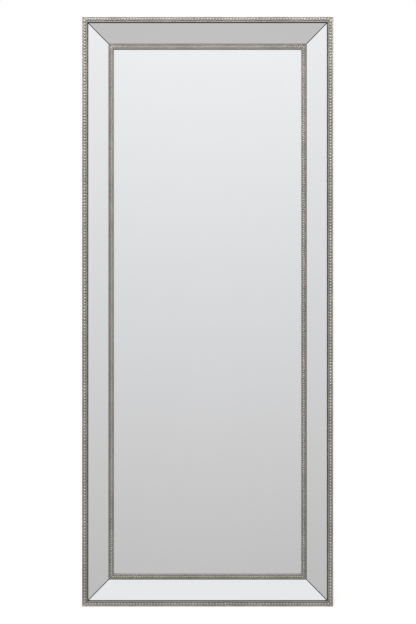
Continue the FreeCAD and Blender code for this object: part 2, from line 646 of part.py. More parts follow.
def make_setting_blocks(label):
    """Blocks in the gap between the main mirror and its rebate, two to each edge of the glass."""
    block = doc.addObject("Part::Box", "setting_block")
    bind(block, Length="Sizes.block_length", Width="Sizes.glass_play", Height="Sizes.glass_thickness")
    doc.recompute()
    placements = []
    for turn, across, up, length in SIDES.values():
        rotation = Rotation(Y_DIRECTION, turn) * FACING
        edge = at(rotation, across, "Layout.back_plane", up)
        for end in (1, -1):
            middle = value(f"{end} * ({length} / 2 - Layout.glass_line - Sizes.block_end_distance)")
            corner = Vector(middle - value("Sizes.block_length / 2"), value("Layout.rebate_line"),
                            value("Layout.glass_back_level"))
            placements.append(edge * Placement(corner, Rotation()))
    make_group(label, block, placements)


def hanger_frame(name, lift="0"):
    """The turn of a hanger and the place of its ring axis, lifted off the back of the core."""
    turn, across, up = HANGERS[name]
    return Rotation(Y_DIRECTION, turn), across, f"Layout.back_plane + {lift}", up


def make_hanger_strap(label, name):
    """A strap of sheet steel folded double, with a roll for the ring and two countersunk holes."""
    body = new_body(label)
    section = new_sketch(body, label + "_section", "YZ_Plane")
    fold = "-sqrt(Layout.roll_radius ^ 2 - (Layout.roll_radius - Layout.strap_thickness) ^ 2)"
    add_outline(section, [
        ("0", "-Layout.strap_tail"),
        ("Layout.strap_thickness", "-Layout.strap_tail"),
        ("Layout.strap_thickness", fold),
        ("0", "0", "Layout.roll_radius", "0"),
    ])
    add_circle(section, "Layout.roll_radius", "0", "Sizes.ring_wire_diameter + 2 * Sizes.ring_play")
    pad = add_pad(body, label + "_sheet", section, "Sizes.strap_width", symmetric=True)

    tail_end = value("-Layout.strap_tail")
    half_width = value("Sizes.strap_width / 2")
    corner_edges = []
    for index, edge in enumerate(pad.Shape.Edges, start=1):
        middle = edge.CenterOfMass
        at_end = math.isclose(middle.z, tail_end, abs_tol=Part.Precision.confusion())
        at_side = math.isclose(abs(middle.x), half_width, abs_tol=Part.Precision.confusion())
        if at_end and at_side:
            corner_edges.append(f"Edge{index}")
    corners = body.newObject("PartDesign::Fillet", label + "_corners")
    corners.Base = (pad, corner_edges)
    bind(corners, Radius="Sizes.strap_corner_radius")
    finish_cut(body, corners)

    holes = new_sketch(body, label + "_hole_sketch", "XZ_Plane", "-Layout.strap_thickness")
    for screw in STRAP_SCREWS:
        add_circle(holes, "0", f"-{screw}", "Sizes.hanger_screw_diameter")
    add_countersunk_holes(body, label + "_holes", holes,
                          "Sizes.hanger_screw_diameter", "Sizes.hanger_screw_head")
    place(body, *hanger_frame(name))
    keep(body, label)


def make_hanger_ring(label, name):
    """A D-ring of round wire. Its straight bar turns in the roll of the strap, and it hangs over the tail."""
    body = new_body(label)
    path = new_sketch(body, label + "_path", "XZ_Plane")
    bar = "Layout.ring_bar"
    bow = "Layout.ring_bow"
    corner = "-Sizes.ring_corner_radius"
    leg = "-Sizes.ring_leg"
    edges = add_outline(path, [
        (bar, "0", bar, corner),
        ("-" + bar, "0"),
        ("-" + bow, corner, "-" + bar, corner),
        ("-" + bow, leg),
        (bow, leg, "0", leg),
        (bow, corner),
    ])
    section = new_sketch(body, label + "_section", "YZ_Plane")
    add_circle(section, "0", "0", "Sizes.ring_wire_diameter")
    doc.recompute()
    wire = body.newObject("PartDesign::AdditivePipe", label + "_wire")
    wire.Profile = section
    wire.Spine = (path, [f"Edge{index + 1}" for index in edges])
    wire.Transition = "Transformed"
    body.Tip = wire
    doc.recompute()
    turn, across, depth, up = hanger_frame(name, "Layout.roll_radius")
    place(body, turn * Rotation(X_DIRECTION, value("Layout.ring_rest_angle")), across, depth, up)
    keep(body, label)


def make_hanger_screws(label):
    screw = make_screw("hanger_screw", "Sizes.hanger_screw_diameter", "Sizes.hanger_screw_head",
                       "Sizes.hanger_screw_length")
    placements = []
    for name in HANGERS:
        frame = at(*hanger_frame(name, "Layout.strap_thickness"))
        for distance in STRAP_SCREWS:
            placements.append(frame * Placement(Vector(0, 0, -value(distance)), FACING))
    make_group(label, screw, placements)


def make_wall_bumpers(label):
    """Four rubber buttons that keep the frame off the wall."""
    bumper = doc.addObject("Part::Cone", "wall_bumper")
    bind(bumper, Radius1="Sizes.bumper_base / 2", Radius2="Sizes.bumper_face / 2",
         Height="Sizes.bumper_thickness")
    doc.recompute()
    placements = []
    for side in (1, -1):
        for up in ("Sizes.bumper_end_distance", "Sizes.frame_height - Sizes.bumper_end_distance"):
            across = f"{side} * (Sizes.frame_width / 2 - Sizes.bumper_inset)"
            placements.append(at(FACING_BACK, across, "Layout.back_plane", up))
    make_group(label, bumper, placements)


def check_document():
    """Stop if any object failed to build, or a sub-part has no valid shape."""
    for thing in doc.Objects:
        if "Invalid" in thing.State or "Error" in thing.State:
            raise RuntimeError(f"{thing.Name} failed to build")
    for sub_part in sub_parts:
        if sub_part.Shape.isNull() or not sub_part.Shape.isValid():
            raise RuntimeError(f"{sub_part.Label} has no valid shape")


for side_name in ("top", "bottom"):
    make_core_member(f"core_{side_name}_rail", side_name, "Sizes.panel_screw_columns")
for side_name in ("left", "right"):
    make_core_member(f"core_{side_name}_stile", side_name, "Sizes.panel_screw_rows")
for side_name in SIDES:
    make_outer_moulding(f"{side_name}_outer_moulding", side_name)
    make_inner_moulding(f"{side_name}_inner_moulding", side_name)
    make_border_mirror(f"{side_name}_border_mirror", side_name)
    make_border_tape(f"{side_name}_border_tape", side_name)
make_mitre_splines("mitre_splines")
make_sheet("main_mirror", "Layout.glass_line", "Layout.glass_back_level", "Sizes.glass_thickness")
make_setting_blocks("setting_blocks")
make_sheet("packing_sheet", "Layout.rebate_line + Sizes.packing_play", "Sizes.panel_thickness",
           "Sizes.packing_thickness")
make_back_panel("back_panel")
make_panel_screws("back_panel_screws")
for hanger_name in HANGERS:
    make_hanger_strap(f"{hanger_name}_hanger_strap", hanger_name)
    make_hanger_ring(f"{hanger_name}_hanger_ring", hanger_name)
make_hanger_screws("hanger_screws")
make_wall_bumpers("wall_bumpers")

doc.recompute()
check_document()

os.makedirs("parts", exist_ok=True)
for finished in sub_parts:
    finished.Shape.exportStep(f"parts/{finished.Label}.step")
    print(finished.Label, len(finished.Shape.Solids), "solids,", round(finished.Shape.Volume), "mm3")
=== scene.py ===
import math

import bmesh
import bpy
from mathutils import Matrix, Vector


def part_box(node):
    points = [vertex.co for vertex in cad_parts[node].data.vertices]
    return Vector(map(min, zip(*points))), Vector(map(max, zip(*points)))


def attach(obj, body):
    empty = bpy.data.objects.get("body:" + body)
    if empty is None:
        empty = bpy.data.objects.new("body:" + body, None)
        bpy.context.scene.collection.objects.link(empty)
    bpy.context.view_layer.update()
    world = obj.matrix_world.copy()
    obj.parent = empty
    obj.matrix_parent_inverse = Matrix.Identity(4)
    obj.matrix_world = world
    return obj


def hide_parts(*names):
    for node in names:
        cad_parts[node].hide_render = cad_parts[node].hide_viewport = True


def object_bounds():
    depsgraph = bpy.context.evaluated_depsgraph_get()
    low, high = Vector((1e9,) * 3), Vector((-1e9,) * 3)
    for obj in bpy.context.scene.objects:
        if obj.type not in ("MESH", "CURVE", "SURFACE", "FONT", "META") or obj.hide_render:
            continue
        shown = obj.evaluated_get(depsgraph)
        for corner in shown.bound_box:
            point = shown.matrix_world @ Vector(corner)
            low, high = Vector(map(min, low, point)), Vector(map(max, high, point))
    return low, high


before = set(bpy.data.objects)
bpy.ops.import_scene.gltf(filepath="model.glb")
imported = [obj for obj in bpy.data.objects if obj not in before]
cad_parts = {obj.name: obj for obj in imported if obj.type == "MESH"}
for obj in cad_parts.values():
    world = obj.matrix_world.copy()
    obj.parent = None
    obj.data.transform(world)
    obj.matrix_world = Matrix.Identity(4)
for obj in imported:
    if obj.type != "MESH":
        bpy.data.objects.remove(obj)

bl_info = {
    "name": "Full-Length Beaded Mirror",
    "version": (1, 0, 0),
    "blender": (4, 5, 0),
    "location": "3D View > Sidebar > Mirror",
    "description": "Makes a full-length mirror with sloping glass borders between two beaded mouldings",
    "category": "Add Mesh",
}

MILLIMETRE = 0.001
FRAME_BODY = "frame"
FORWARD = Vector((0, -1, 0))

# Places read from the frame. The back plane is the flat back of the core, and heights count forward from it.
cad_low, cad_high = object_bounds()
FRAME_WIDTH = cad_high.x - cad_low.x
FRAME_HEIGHT = cad_high.z - cad_low.z
BACK_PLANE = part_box("core_left_stile")[1].y
GLASS_LEVEL = BACK_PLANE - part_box("main_mirror")[0].y

# The four sides: the way along the side, the way inward, the middle of its outer edge, and its length.
SIDES = {
    "bottom": ((1, 0, 0), (0, 0, 1), (0, BACK_PLANE, 0), FRAME_WIDTH),
    "top": ((-1, 0, 0), (0, 0, -1), (0, BACK_PLANE, FRAME_HEIGHT), FRAME_WIDTH),
    "left": ((0, 0, -1), (1, 0, 0), (-FRAME_WIDTH / 2, BACK_PLANE, FRAME_HEIGHT / 2), FRAME_HEIGHT),
    "right": ((0, 0, 1), (-1, 0, 0), (FRAME_WIDTH / 2, BACK_PLANE, FRAME_HEIGHT / 2), FRAME_HEIGHT),
}
CORE_MEMBERS = ("core_top_rail", "core_bottom_rail", "core_left_stile", "core_right_stile")
HANGERS = ("upper_left", "upper_right", "sideways_upper", "sideways_lower")

# Facets and limits of the meshes.
REED_STEPS = 12
BEAD_SEGMENTS = 16
BEAD_RINGS = 8
BEAD_SHRINKAGE = 0.03
TURNED_SEGMENTS = 28
RIM_STEPS = 6
EASING_STEPS = 2
MERGE_DISTANCE = 0.005 * MILLIMETRE
FLAT_ANGLE = math.radians(0.5)
SHARP_ANGLE = math.radians(35)
EASED_EDGE_LENGTH = 60 * MILLIMETRE
SAME_FACING = 0.99

# How much glaze and painted shade a point takes: 0 on a bare crown, 1 in a full hollow. Glaze settles in the
# hollows;
# painted shade darkens the reed flanks, the foot, the sight reed and, most, the side beside the border glass.
HOLLOW = "hollow"
EDGE_REED_HOLLOW = 0.0
# Painted shade on crowns: the sight reed and the reed beside the border glass are darkened where no glaze
# would lie.
SIGHT_REED_HOLLOW = 0.45
STRIP_REED_HOLLOW = 0.50
SPRING_HOLLOW = 0.30
FLOOR_HOLLOW = 0.20
STRIP_FLOOR_HOLLOW = 0.40
BEAD_LEAN_HOLLOW = 0.10
SEAT_HOLLOW = 0.55
# Heights on a bead, as shares of its radius, where the glaze and painted shade are thickest, at its foot, and
# where they end.
BEAD_GLAZE_SHADE_FULL = -0.8
BEAD_GLAZE_SHADE_END = 0.55
# Which side of a moulding the border glass is on: -1 for its near side and 1 for its far side.
GLASS_ON_NEAR_SIDE = -1
GLASS_ON_FAR_SIDE = 1

# The cross recess of a screw, as shares of the radius of the head.
CROSS_REACH = 0.62
CROSS_HALF_WIDTH = 0.15
CROSS_DEPTH = 0.55
CROSS_TAPER = 0.45

# The paint on the core: where it fades from the outer edges, and how far its spray wanders. The black stain
# fades on both sides of the middle plane.
PAINT_FADE_START = 0.5 * MILLIMETRE
PAINT_FADE_END = 5 * MILLIMETRE
SPRAY_WANDER = 3 * MILLIMETRE
STAIN_FADE = 2 * MILLIMETRE

# What the mirror sees in front of it: elevation in degrees and brightness. The pale studio is greyest low
# on its far wall, and white underfoot and overhead.
REFLECTED_STUDIO = (
    (-90, 1.0), (-60, 0.85), (-45, 0.62), (-33, 0.573), (-14, 0.573), (-9.5, 0.557), (0, 0.746),
    (9.5, 0.943), (15, 0.868), (34, 0.868), (50, 1.0), (90, 1.1),
)
# It dims a little to the sides, and is a touch pink low down and a touch blue from eye level up.
SIDEWAYS_DIMMING = 0.1
LOW_TINT = (1.0, 0.995, 0.998)
HIGH_TINT = (0.992, 1.0, 1.016)
TINT_START = math.sin(math.radians(-7))
WHITE = (1.0, 1.0, 1.0, 1.0)


def length(name, description, millimetres):
    """A size in the sidebar, given in millimetres and held in metres."""
    return bpy.props.FloatProperty(
        name=name, description=description, default=millimetres * MILLIMETRE, min=0, unit="LENGTH")


def place(name, description, metres):
    """A place in the sidebar, in metres."""
    return bpy.props.FloatVectorProperty(
        name=name, description=description, default=metres, size=3, subtype="TRANSLATION", unit="LENGTH")


def level(name, description, default):
    """A brightness in the sidebar, where 1 is white."""
    return bpy.props.FloatProperty(
        name=name, description=description, default=default, min=0, max=1, subtype="FACTOR")


def power(name, description, watts):
    """The power of a lamp in the sidebar."""
    return bpy.props.FloatProperty(name=name, description=description, default=watts, min=0, unit="POWER")


def colour(name, description, default):
    """A colour in the sidebar."""
    return bpy.props.FloatVectorProperty(
        name=name, description=description, default=default, subtype="COLOR", size=3, min=0, max=1)


class OuterMouldingSizes(bpy.types.PropertyGroup):
    """Sizes of the outer beaded moulding."""

    reed_height: length("Reed Height", "Crown of the reeds above the core", 7.5)
    near_reed: length("Edge Reed", "Width of the reed at the outer edge of the frame", 3.4)
    far_reed: length("Strip Reed", "Width of the reed beside the border glass", 3.6)
    channel_depth: length("Channel Depth", "Floor of the bead channel below the reeds", 2.5)
    bead_diameter: length("Bead", "Diameter of one bead", 8)
    bead_lift: length("Bead Lift", "Middle of a bead above the floor of its channel", 0.1)
    bead_gap: length("Bead Gap", "Gap aimed at between two beads", 0.45)


class InnerMouldingSizes(bpy.types.PropertyGroup):
    """Sizes of the inner beaded moulding."""

    seat_height: length("Seat Height", "Seat of the moulding on the core above the main glass", 5)
    leg_thickness: length("Leg", "Thickness of the leg down to the main glass", 2)
    reed_height: length("Reed Height", "Crown of the reeds above the core", 7)
    near_reed: length("Strip Reed", "Width of the reed beside the border glass", 3)
    far_reed: length("Sight Reed", "Width of the reed beside the main glass", 2.9)
    channel_depth: length("Channel Depth", "Floor of the bead channel below the reeds", 2.2)
    bead_diameter: length("Bead", "Diameter of one bead", 6.1)
    bead_lift: length("Bead Lift", "Middle of a bead above the floor of its channel", 0.45)
    bead_gap: length("Bead Gap", "Gap aimed at between two beads", 0.4)


class FittingSizes(bpy.types.PropertyGroup):
    """Sizes of the eased edges, the screws and the wall bumpers."""

    glass_arris: length("Glass Arris", "Width of the ground edge round a glass", 0.6)
    core_easing: length("Core Easing", "Rounding of the long edges of the core", 0.7)
    panel_screw_length: length("Panel Screw", "Length of a back panel screw", 12)
    panel_screw_shank: length("Panel Shank", "Diameter of a back panel screw", 3.5)
    hanger_screw_length: length("Hanger Screw", "Length of a hanger screw", 18)
    hanger_screw_shank: length("Hanger Shank", "Diameter of a hanger screw", 4)
    screw_head: length("Screw Head", "Diameter of a countersunk head", 7)
    screw_rim: length("Screw Rim", "Easing of the rim of a screw head", 0.15)
    screw_point: length("Screw Point", "Length of the point of a screw", 4)
    bumper_base: length("Bumper Base", "Diameter of a wall bumper on the core", 18)
    bumper_face: length("Bumper Face", "Diameter of a wall bumper at the wall", 14)
    bumper_rim: length("Bumper Rim", "Rounding of the rim of a wall bumper", 1.2)


class FinishColours(bpy.types.PropertyGroup):
    """Colours of the finishes."""

    leaf: colour("Champagne Leaf", "Bright parts of the champagne leaf", (0.53, 0.50, 0.465))
    leaf_worn: colour("Worn Leaf", "Dull patches of the champagne leaf", (0.437, 0.411, 0.380))
    # The umber also paints the shade in the hollows, on the reed flanks and on the side beside the border
    # glass.
    glaze: colour("Umber Glaze", "Glaze that settles in the hollows", (0.15, 0.138, 0.12))
    silver: colour("Silvering", "Reflection of the mirror glass", (0.935, 0.935, 0.937))
    glass_edge: colour("Glass Edge", "Cut edge of the glass", (0.075, 0.090, 0.085))
    backing: colour("Mirror Backing", "Paint on the back of the glass", (0.20, 0.22, 0.22))
    board: colour("Core Board", "Raw board of the core", (0.43, 0.31, 0.19))
    seat_black: colour("Seat Black", "Black stain under the glass", (0.022, 0.020, 0.018))
    hardboard: colour("Hardboard", "Back panel", (0.235, 0.135, 0.068))
    card: colour("Card", "Packing sheet", (0.44, 0.30, 0.17))
    beech: colour("Beech", "Mitre splines", (0.60, 0.40, 0.23))
    zinc: colour("Zinc Plate", "Straps and screws", (0.60, 0.61, 0.62))
    nickel: colour("Nickel Wire", "Hanger rings", (0.68, 0.66, 0.62))
    rubber: colour("Rubber", "Bumpers, blocks and tape", (0.030, 0.030, 0.032))
    bloom: colour("Rubber Bloom", "Pale bloom on the rubber and cells of the tape", (0.070, 0.070, 0.074))


class StageSettings(bpy.types.PropertyGroup):
    """The studio round the mirror."""

    camera_distance: length("Camera Distance", "Lens to the front of the mirror", 5000)
    camera_aside: length("Camera Aside", "Lens to the right of the middle of the mirror", 1.2)
    camera_drop: length("Camera Drop", "Lens below the middle of the mirror", 1)
    picture_height: length("Picture Height", "Height that the picture takes in at the mirror", 1786)
    floor_size: length("Floor Size", "Side of the square floor", 14000)
    floor_near: length("Floor Near", "Where the floor starts to fade to white", 700)
    floor_far: length("Floor Far", "Where the floor has faded to white", 3500)
    floor_tone: colour("Floor", "Pale floor", (0.86, 0.86, 0.86))
    floor_glow: level("Floor Glow", "White added to the floor in the picture only", 0.42)
    ambient: level("Ambient Light", "Level of the even light from all round", 0.55)
    key_place: place("Key Lamp", "Place of the lamp above the mirror", (-0.1, -1.0, 2.8))
    key_size: length("Key Lamp Size", "Side of the lamp above the mirror", 2600)
    key_power: power("Key Lamp Power", "Power of the lamp above the mirror", 48)
    fill_place: place("Fill Lamp", "Place of the lamp on the left", (-1.6, -3.0, 4.0))
    fill_size: length("Fill Lamp Size", "Side of the lamp on the left", 1800)
    fill_power: power("Fill Lamp Power", "Power of the lamp on the left", 25)


class Wire:
    """One output of a node. Arithmetic on it adds Math nodes to the same tree."""

    def __init__(self, graph, socket):
        self.graph = graph
        self.socket = socket

    def math(self, operation, *values):
        return self.graph.node("ShaderNodeMath", {"operation": operation}, dict(enumerate(values)))

    def __add__(self, other):
        return self.math("ADD", self, other)

    def __sub__(self, other):
        return self.math("SUBTRACT", self, other)

    def __rsub__(self, other):
        return self.math("SUBTRACT", other, self)

    def __mul__(self, other):
        return self.math("MULTIPLY", self, other)

    def __truediv__(self, other):
        return self.math("DIVIDE", self, other)

    def __rtruediv__(self, other):
        return self.math("DIVIDE", other, self)

    def __abs__(self):
        return self.math("ABSOLUTE", self)

    __radd__ = __add__
    __rmul__ = __mul__

    def lower(self, other):
        """The lower of this and another number."""
        return self.math("MINIMUM", self, other)

    def higher(self, other):
        """The higher of this and another number."""
        return self.math("MAXIMUM", self, other)

    def between(self, first, last):
        """A number that goes from the first to the last as this goes from 0 to 1."""
        return self * (last - first) + first

    def blend(self, other, share):
        """This, with a share of another number in its place."""
        return self * (1 - share) + other * share

    def ramp(self, start, end):
        """0 at the start value and 1 at the end value, with a soft step between."""
        return self.graph.node("ShaderNodeMapRange", {"interpolation_type": "SMOOTHSTEP"},
                               {"Value": self, "From Min": start, "From Max": end}, "Result")


def find_socket(sockets, key):
    """A node's socket by its place, its identifier or its name."""
    if isinstance(key, int):
        return sockets[key]
    return next((socket for socket in sockets if socket.identifier == key), None) or sockets[key]


def set_stops(ramp, stops):
    """Give a colour ramp its stops, each a position and a grey."""
    while len(ramp.elements) < len(stops):
        ramp.elements.new(1.0)
    for element, (position, grey) in zip(ramp.elements, stops):
        element.position = position
        element.color = (grey, grey, grey, 1.0)


def opaque(tone):
    """A colour with its fourth number; a wire passes through."""
    return tone if isinstance(tone, Wire) else (*tone[:3], 1.0)


def darker(tone, share):
    """A share of a colour."""
    return [part * share for part in tone]


class Graph:
    """A node tree under construction, for a finish, the world or a geometry tree."""

    def __init__(self, tree):
        self.tree = tree
        tree.nodes.clear()

    def node(self, kind, settings=None, inputs=None, output=0):
        """Add a node, set it up, feed its sockets and give back one of its outputs.

        A list feeds one socket with several wires. Stops are those of a colour ramp.
        """
        made = self.tree.nodes.new(kind)
        for name, setting in (settings or {}).items():
            if name == "stops":
                set_stops(made.color_ramp, setting)
            else:
                setattr(made, name, setting)
        for key, feeds in (inputs or {}).items():
            socket = find_socket(made.inputs, key)
            for feed in feeds if isinstance(feeds, list) else [feeds]:
                if isinstance(feed, Wire):
                    self.tree.links.new(feed.socket, socket)
                else:
                    socket.default_value = feed
        return Wire(self, find_socket(made.outputs, output)) if made.outputs else None

    def noise(self, spot, scale, detail):
        """Cloudy noise from 0 to 1, with a number of patches to the metre."""
        return self.node("ShaderNodeTexNoise", None,
                         {"Vector": spot, "Scale": scale, "Detail": detail}, "Fac")

    def cells(self, spot, scale):
        """Distance to the middle of the nearest of many small cells."""
        return self.node("ShaderNodeTexVoronoi", None, {"Vector": spot, "Scale": scale}, "Distance")

    def stretched(self, spot, scale):
        """Coordinates stretched along the axes, for grain and wiping."""
        return self.node("ShaderNodeMapping", None, {"Vector": spot, "Scale": scale})

    def axes(self, spot):
        """The three numbers of a vector."""
        return [self.node("ShaderNodeSeparateXYZ", None, {"Vector": spot}, axis) for axis in "XYZ"]

    def mix(self, factor, first, second, blend_type="MIX"):
        """A colour between two colours."""
        return self.node("ShaderNodeMix", {"data_type": "RGBA", "blend_type": blend_type},
                         {"Factor_Float": factor, "A_Color": opaque(first), "B_Color": opaque(second)},
                         "Result_Color")

    def finish(self, base, roughness, metallic=0.0, height=None, depth=0.0):
        """End a material: its surface, and a bump of a given depth in millimetres."""
        inputs = {"Base Color": base, "Roughness": roughness, "Metallic": metallic}
        if height is not None:
            inputs["Normal"] = self.node("ShaderNodeBump", None,
                                         {"Height": height, "Strength": 1.0, "Distance": depth * MILLIMETRE})
        surface = self.node("ShaderNodeBsdfPrincipled", None, inputs)
        self.node("ShaderNodeOutputMaterial", None, {"Surface": surface})


def material_of(maker):
    """The material of a finish, built the first time that it is asked for, on the piece's own coordinates."""
    material = bpy.data.materials.get(maker.__name__)
    if material is None:
        material = bpy.data.materials.new(maker.__name__)
        material.use_nodes = True
        graph = Graph(material.node_tree)
        spot = graph.node("ShaderNodeTexCoord", None, None, "Object")
        maker(graph, spot, bpy.context.scene.mirror_colours)
    return material


def leaf_patches(graph, cloud, flake, tones):
    """Champagne leaf with dull patches."""
    dullness = cloud.blend(flake, 0.4).ramp(0.38, 0.64)
    return graph.mix(dullness, tones.leaf, tones.leaf_worn)


def champagne_leaf(graph, spot, tones):
    """Champagne metal leaf, rubbed bright on the crowns, with umber glaze in the hollows and painted shade on
    the reed flanks, the sight reed and the side beside the border glass.
    """
    cloud = graph.noise(spot, scale=16, detail=3)
    flake = graph.noise(spot, scale=240, detail=5)
    grain = graph.noise(spot, scale=1900, detail=2)
    hollow = graph.node("ShaderNodeAttribute", {"attribute_name": HOLLOW}, None, "Fac")
    # Painted shade: this mask is umber glaze in the hollows, and painted shade on the flanks, the sight reed
    # and the side beside the border glass.
    glaze = (hollow + flake.between(-0.15, 0.15)).ramp(0.05, 1.0)
    graph.finish(base=graph.mix(glaze, leaf_patches(graph, cloud, flake, tones), tones.glaze),
                 roughness=grain.between(0.57, 0.67) + glaze.between(0.0, 0.18),
                 metallic=glaze.between(0.90, 0.35),
                 height=flake.blend(grain, 0.3), depth=0.05)


def silvered_glass(graph, spot, tones):
    """Silver behind clear glass, with the faint haze that wiping leaves."""
    haze = graph.noise(graph.stretched(spot, (1.0, 1.0, 0.35)), scale=7, detail=4)
    graph.finish(base=graph.mix(haze, tones.silver, darker(tones.silver, 0.985)),
                 roughness=haze.ramp(0.45, 0.8).between(0.004, 0.016), metallic=1.0)


def glass_edge(graph, spot, tones):
    """Ground edge of the glass, dark where the silver behind it ends."""
    streak = graph.noise(spot, scale=420, detail=3)
    graph.finish(base=graph.mix(streak, tones.glass_edge, darker(tones.glass_edge, 0.6)),
                 roughness=streak.between(0.18, 0.38), height=streak, depth=0.05)


def mirror_backing(graph, spot, tones):
    """Grey protective paint on the back of the glass."""
    roll = graph.noise(spot, scale=300, detail=3)
    graph.finish(base=graph.mix(roll, tones.backing, darker(tones.backing, 0.8)),
                 roughness=roll.between(0.5, 0.65), height=roll, depth=0.04)


def painted_core(graph, spot, tones):
    """Core board: champagne paint on the outer sides, oversprayed on the back, black under the glass."""
    spray = graph.noise(spot, scale=90, detail=5)
    fibre = graph.noise(spot, scale=2400, detail=3)
    cloud = graph.noise(spot, scale=16, detail=3)
    across, depth, up = graph.axes(spot)
    to_side = FRAME_WIDTH / 2 - abs(across)
    to_end = up.lower(FRAME_HEIGHT - up)
    to_edge = to_side.lower(to_end) + spray.between(-SPRAY_WANDER, SPRAY_WANDER)
    painted = 1 - to_edge.ramp(PAINT_FADE_START, PAINT_FADE_END)
    stained = 1 - depth.ramp(-STAIN_FADE, STAIN_FADE)
    board = graph.mix(fibre.blend(cloud, 0.4), tones.board, darker(tones.board, 0.7))
    board = graph.mix(stained, board, tones.seat_black)
    graph.finish(base=graph.mix(painted, board, leaf_patches(graph, cloud, spray, tones)),
                 roughness=painted.between(0.78, 0.48) + fibre.between(0.0, 0.1),
                 metallic=painted.between(0.0, 0.85),
                 height=fibre.blend(spray, 0.3), depth=0.12)


def foam_tape(graph, spot, tones):
    """Black foam mounting tape with fine open cells."""
    cells = graph.cells(spot, scale=1500)
    graph.finish(base=graph.mix(cells, tones.rubber, tones.bloom),
                 roughness=cells.between(0.85, 0.75), height=cells, depth=0.2)


def beech_tongue(graph, spot, tones):
    """Beech with short flecks."""
    fleck = graph.noise(graph.stretched(spot, (1.0, 6.0, 1.0)), scale=260, detail=4)
    graph.finish(base=graph.mix(fleck.ramp(0.35, 0.7), tones.beech, darker(tones.beech, 0.7)),
                 roughness=fleck.between(0.6, 0.75), height=fleck, depth=0.08)


def moulded_rubber(graph, spot, tones):
    """Black rubber with a fine moulded grain and a little bloom."""
    bloom = graph.noise(spot, scale=120, detail=4)
    grain = graph.noise(spot, scale=2600, detail=2)
    graph.finish(base=graph.mix(bloom.ramp(0.4, 0.8), tones.rubber, tones.bloom),
                 roughness=bloom.between(0.62, 0.82), height=grain, depth=0.08)


def corrugated_card(graph, spot, tones):
    """Brown packing card with flutes that show through its face."""
    flute = graph.node("ShaderNodeTexWave", {"bands_direction": "Z"},
                       {"Vector": spot, "Scale": 40, "Distortion": 0.4}, "Fac")
    fibre = graph.noise(spot, scale=500, detail=4)
    graph.finish(base=graph.mix(fibre.blend(flute, 0.35), tones.card, darker(tones.card, 0.72)),
                 roughness=fibre.between(0.85, 0.95), height=flute.blend(fibre, 0.3), depth=0.15)


def pressed_hardboard(graph, spot, tones):
    """Brown pressed fibreboard, mottled, with scattered pale and dark fibres."""
    mottle = graph.noise(spot, scale=26, detail=6)
    fibre = graph.noise(graph.stretched(spot, (1.0, 1.0, 0.4)), scale=620, detail=5)
    fleck = graph.cells(spot, scale=330)
    base = graph.mix(mottle.ramp(0.3, 0.7), tones.hardboard, darker(tones.hardboard, 0.84))
    base = graph.mix(fibre.ramp(0.55, 0.8).between(0.0, 0.55), base, tones.card)
    base = graph.mix(fleck.ramp(0.05, 0.25).between(0.5, 0.0), base, darker(tones.hardboard, 0.35))
    graph.finish(base, roughness=fibre.between(0.55, 0.80) + mottle.between(0.0, 0.05),
                 height=fibre.blend(fleck, 0.3), depth=0.10)


def plated_metal(graph, spot, tone, grain_scale, smoothest, roughest):
    """Plated steel: a slightly cloudy bright coat over drawn metal."""
    cloud = graph.noise(spot, scale=150, detail=4)
    grain = graph.noise(spot, scale=grain_scale, detail=3)
    graph.finish(base=graph.mix(cloud.ramp(0.35, 0.75), tone, darker(tone, 0.74)),
                 roughness=cloud.blend(grain, 0.35).between(smoothest, roughest), metallic=1.0,
                 height=grain, depth=0.03)


def zinc_plate(graph, spot, tones):
    """Clear zinc plate on straps and screws."""
    plated_metal(graph, spot, tones.zinc, grain_scale=1600, smoothest=0.24, roughest=0.48)


def nickel_wire(graph, spot, tones):
    """Nickel plate on drawn wire."""
    plated_metal(graph, spot, tones.nickel, grain_scale=2400, smoothest=0.14, roughest=0.38)


def new_piece(name, mesh):
    """A new object in the scene, at the origin."""
    piece = bpy.data.objects.new(name, mesh)
    bpy.context.scene.collection.objects.link(piece)
    return piece


def settle(piece, node):
    """Hand a finished piece to the frame in place of its CAD node."""
    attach(piece, FRAME_BODY)
    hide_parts(node)


def dress(node, maker):
    """Give a CAD node a finish."""
    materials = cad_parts[node].data.materials
    materials.clear()
    materials.append(material_of(maker))


def shape_to_mesh(shape, name):
    """Write a shape to a mesh of its own, smooth but for its sharp edges."""
    bmesh.ops.recalc_face_normals(shape, faces=shape.faces)
    mesh = bpy.data.meshes.new(name)
    shape.to_mesh(mesh)
    shape.free()
    mesh.shade_smooth()
    mesh.set_sharp_from_angle(angle=SHARP_ANGLE)
    return mesh


def side_matrix(side):
    """From a side's own axes, along, inward and forward, to the frame."""
    along, inward, start, _ = SIDES[side]
    matrix = Matrix((along, inward, FORWARD)).transposed().to_4x4()
    matrix.translation = start
    return matrix


def merged_shape(node):
    """A CAD node's mesh as closed shapes, with the triangles of each flat face joined."""
    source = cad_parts[node].data
    shape = bmesh.new()
    corners = [shape.verts.new(vertex.co) for vertex in source.vertices]
    for polygon in source.polygons:
        shape.faces.new([corners[index] for index in polygon.vertices])
    bmesh.ops.remove_doubles(shape, verts=shape.verts, dist=MERGE_DISTANCE)
    bmesh.ops.dissolve_limit(shape, angle_limit=FLAT_ANGLE, verts=shape.verts, edges=shape.edges)
    return shape


def connected_points(start, waiting):
    """Take a vertex and all that its edges lead to out of those that wait, and give their places."""
    points = []
    reached = [start]
    while reached:
        vertex = reached.pop()
        points.append(vertex.co.copy())
        for edge in vertex.link_edges:
            other = edge.other_vert(vertex)
            if other in waiting:
                waiting.remove(other)
                reached.append(other)
    return points


def solid_backs(node):
    """The rearmost middle point of each separate solid of a CAD node, in a fixed order."""
    shape = merged_shape(node)
    waiting = set(shape.verts)
    backs = []
    while waiting:
        points = connected_points(waiting.pop(), waiting)
        low = [min(axis) for axis in zip(*points)]
        high = [max(axis) for axis in zip(*points)]
        backs.append(((low[0] + high[0]) / 2, high[1], (low[2] + high[2]) / 2))
    shape.free()
    return sorted(backs)


